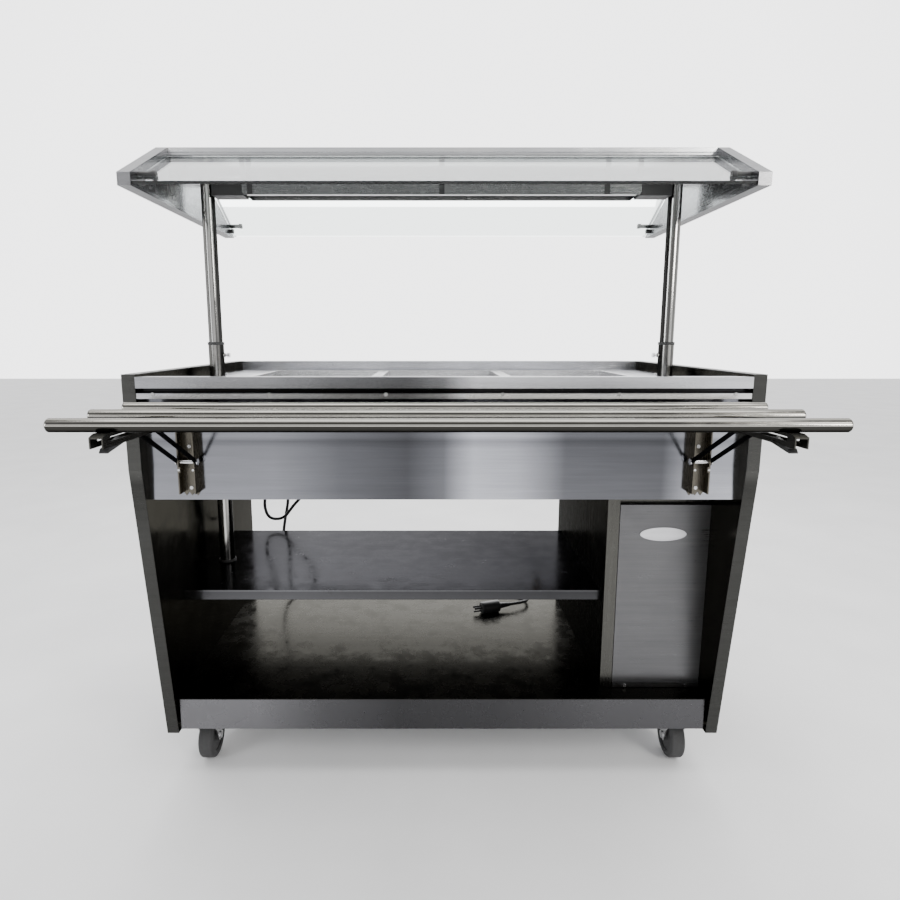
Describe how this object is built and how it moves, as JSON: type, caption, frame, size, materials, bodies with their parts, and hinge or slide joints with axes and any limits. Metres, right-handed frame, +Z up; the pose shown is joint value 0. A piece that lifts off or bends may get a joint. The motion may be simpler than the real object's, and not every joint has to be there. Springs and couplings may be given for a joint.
{
  "type": "steam table unit",
  "caption": "Rolling hot food counter with heated wells, a glass sneeze guard on telescoping posts, a fold-down tray slide, open shelves and swivel casters.",
  "frame": {"origin": "on the floor, at the middle of the unit's width and depth", "axes": "+X to the customer's right, +Y from the customer towards the operator, +Z up"},
  "size_m": [1.219, 1.022, 1.381],
  "materials": {
    "body_steel": "horizontally brushed stainless sheet",
    "polished_steel": "bright mirror-like stainless sheet",
    "galvanised": "dull galvanised sheet",
    "zinc": "bright zinc-plated steel",
    "black_plastic": "matte black moulding",
    "grey_plastic": "dark grey moulding",
    "badge": "satin blank plate",
    "pane": "clear tempered glass with green edges",
    "lamp_glass": "frosted lamp tube",
    "red_lens": "translucent red lens",
    "valve_brass": "plain brass",
    "element": "dark cast plate",
    "insulation": "pale fibre blanket",
    "tyre": "dark grey rubber",
    "lever_red": "red dipped grip",
    "cord_black": "black rubber jacket"
  },
  "bodies": {
    "cabinet": {"side_panels": "body_steel", "side_liners": "polished_steel", "counter_top": "body_steel", "front_trim_strip": "body_steel", "panel_screws": "zinc", "front_apron": "polished_steel", "rear_apron": "body_steel", "housing_floor": "galvanised", "heated_wells": "body_steel", "heating_plates": "element", "insulation_pads": "insulation", "drain_pipes": "valve_brass", "undershelf": "polished_steel", "divider": "body_steel", "compartment_cover": "body_steel", "bottom_shelf": "polished_steel", "caster_rails": "galvanised", "maker_badge": "badge", "control_panel": "body_steel", "thermostats": "grey_plastic", "pilot_lights": "red_lens", "post_guides": "body_steel", "guide_rings": "black_plastic", "bracket_channels": "galvanised", "bracket_pins": "zinc", "caster_plates": "zinc", "caster_bolts": "zinc", "cord_gland": "black_plastic", "power_cord": "cord_black", "power_plug": "cord_black"},
    "drain_lever": {"drain_lever": "lever_red"},
    "canopy": {"canopy_ends": "body_steel", "canopy_roof": "body_steel", "glass_panes": "pane", "glass_pegs": "black_plastic", "lamp_housing": "body_steel", "lamp_tube": "lamp_glass", "lamp_mounts": "black_plastic", "canopy_posts": "polished_steel"},
    "thumbscrew_left": {"thumbscrew_left": "zinc"},
    "thumbscrew_right": {"thumbscrew_right": "zinc"},
    "tray": {"tray_tubes": "polished_steel", "tray_arms": "body_steel"},
    "tray_brace_left": {"tray_brace_left": "zinc"},
    "tray_brace_right": {"tray_brace_right": "zinc"},
    "tray_latch_left": {"tray_latch_left": "black_plastic"},
    "tray_latch_right": {"tray_latch_right": "black_plastic"},
    "knob_left": {"knob_left": "black_plastic"},
    "knob_centre": {"knob_centre": "black_plastic"},
    "knob_right": {"knob_right": "black_plastic"},
    "caster_fork_front_left": {"caster_fork_front_left": "zinc"},
    "caster_wheel_front_left": {"caster_wheel_front_left": "tyre"},
    "caster_fork_front_right": {"caster_fork_front_right": "zinc"},
    "caster_wheel_front_right": {"caster_wheel_front_right": "tyre"},
    "caster_fork_rear_left": {"caster_fork_rear_left": "zinc"},
    "caster_wheel_rear_left": {"caster_wheel_rear_left": "tyre"},
    "caster_fork_rear_right": {"caster_fork_rear_right": "zinc"},
    "caster_wheel_rear_right": {"caster_wheel_rear_right": "tyre"},
    "brake_pedal_front_left": {"brake_pedal_front_left": "grey_plastic"},
    "brake_pedal_front_right": {"brake_pedal_front_right": "grey_plastic"}
  },
  "joints": [
    {"name": "canopy_height", "type": "slide", "parent": "cabinet", "child": "canopy", "axis": [0, 0, 1], "range_m": [-0.2, 0.1]},
    {"name": "tray_fold", "type": "hinge", "parent": "cabinet", "child": "tray", "pos_m": [0, -0.19, 0.8375], "axis": [1, 0, 0], "range_deg": [0, 90]},
    {"name": "tray_brace_left_swing", "type": "hinge", "parent": "cabinet", "child": "tray_brace_left", "pos_m": [-0.499, -0.19, 0.744], "axis": [1, 0, 0], "range_deg": [0, 117.7]},
    {"name": "tray_latch_left_release", "type": "hinge", "parent": "tray", "child": "tray_latch_left", "pos_m": [-0.499, -0.44, 0.8295], "axis": [1, 0, 0], "range_deg": [0, 25], "stiffness_Nm_per_rad": 0.15, "springref_deg": -8.59},
    {"name": "tray_brace_right_swing", "type": "hinge", "parent": "cabinet", "child": "tray_brace_right", "pos_m": [0.499, -0.19, 0.744], "axis": [1, 0, 0], "range_deg": [0, 117.7]},
    {"name": "tray_latch_right_release", "type": "hinge", "parent": "tray", "child": "tray_latch_right", "pos_m": [0.499, -0.44, 0.8295], "axis": [1, 0, 0], "range_deg": [0, 25], "stiffness_Nm_per_rad": 0.15, "springref_deg": -8.59},
    {"name": "thumbscrew_left_turn", "type": "hinge", "parent": "cabinet", "child": "thumbscrew_left", "pos_m": [-0.515, 0.1555, 0.9405], "axis": [1, 0, 0], "range_deg": [0, 360]},
    {"name": "thumbscrew_right_turn", "type": "hinge", "parent": "cabinet", "child": "thumbscrew_right", "pos_m": [0.515, 0.1555, 0.9405], "axis": [1, 0, 0], "range_deg": [0, 360]},
    {"name": "knob_left_turn", "type": "hinge", "parent": "cabinet", "child": "knob_left", "pos_m": [0.535, 0.45, 0.564], "axis": [0, 1, 0], "range_deg": [0, 270]},
    {"name": "knob_centre_turn", "type": "hinge", "parent": "cabinet", "child": "knob_centre", "pos_m": [0.48, 0.45, 0.564], "axis": [0, 1, 0], "range_deg": [0, 270]},
    {"name": "knob_right_turn", "type": "hinge", "parent": "cabinet", "child": "knob_right", "pos_m": [0.425, 0.45, 0.564], "axis": [0, 1, 0], "range_deg": [0, 270]},
    {"name": "drain_lever_turn", "type": "hinge", "parent": "cabinet", "child": "drain_lever", "pos_m": [0.3, 0.461, 0.629], "axis": [0, 1, 0], "range_deg": [0, 90]},
    {"name": "caster_front_left_swivel", "type": "hinge", "parent": "cabinet", "child": "caster_fork_front_left", "pos_m": [-0.547, -0.055, 0.115], "axis": [0, 0, 1], "continuous": true},
    {"name": "caster_front_left_roll", "type": "hinge", "parent": "caster_fork_front_left", "child": "caster_wheel_front_left", "pos_m": [-0.547, -0.025, 0.05], "axis": [1, 0, 0], "continuous": true},
    {"name": "brake_pedal_front_left_press", "type": "hinge", "parent": "caster_fork_front_left", "child": "brake_pedal_front_left", "pos_m": [-0.547, -0.025, 0.1055], "axis": [1, 0, 0], "range_deg": [-15, 0]},
    {"name": "caster_front_right_swivel", "type": "hinge", "parent": "cabinet", "child": "caster_fork_front_right", "pos_m": [0.547, -0.055, 0.115], "axis": [0, 0, 1], "continuous": true},
    {"name": "caster_front_right_roll", "type": "hinge", "parent": "caster_fork_front_right", "child": "caster_wheel_front_right", "pos_m": [0.547, -0.025, 0.05], "axis": [1, 0, 0], "continuous": true},
    {"name": "brake_pedal_front_right_press", "type": "hinge", "parent": "caster_fork_front_right", "child": "brake_pedal_front_right", "pos_m": [0.547, -0.025, 0.1055], "axis": [1, 0, 0], "range_deg": [-15, 0]},
    {"name": "caster_rear_left_swivel", "type": "hinge", "parent": "cabinet", "child": "caster_fork_rear_left", "pos_m": [-0.547, 0.425, 0.115], "axis": [0, 0, 1], "continuous": true},
    {"name": "caster_rear_left_roll", "type": "hinge", "parent": "caster_fork_rear_left", "child": "caster_wheel_rear_left", "pos_m": [-0.547, 0.455, 0.05], "axis": [1, 0, 0], "continuous": true},
    {"name": "caster_rear_right_swivel", "type": "hinge", "parent": "cabinet", "child": "caster_fork_rear_right", "pos_m": [0.547, 0.425, 0.115], "axis": [0, 0, 1], "continuous": true},
    {"name": "caster_rear_right_roll", "type": "hinge", "parent": "caster_fork_rear_right", "child": "caster_wheel_rear_right", "pos_m": [0.547, 0.455, 0.05], "axis": [1, 0, 0], "continuous": true}
  ],
  "couplings": [
    {"joint": "tray_brace_left_swing", "follows": "tray_fold", "ratio": 1.3076},
    {"joint": "tray_brace_right_swing", "follows": "tray_fold", "ratio": 1.3076}
  ]
}
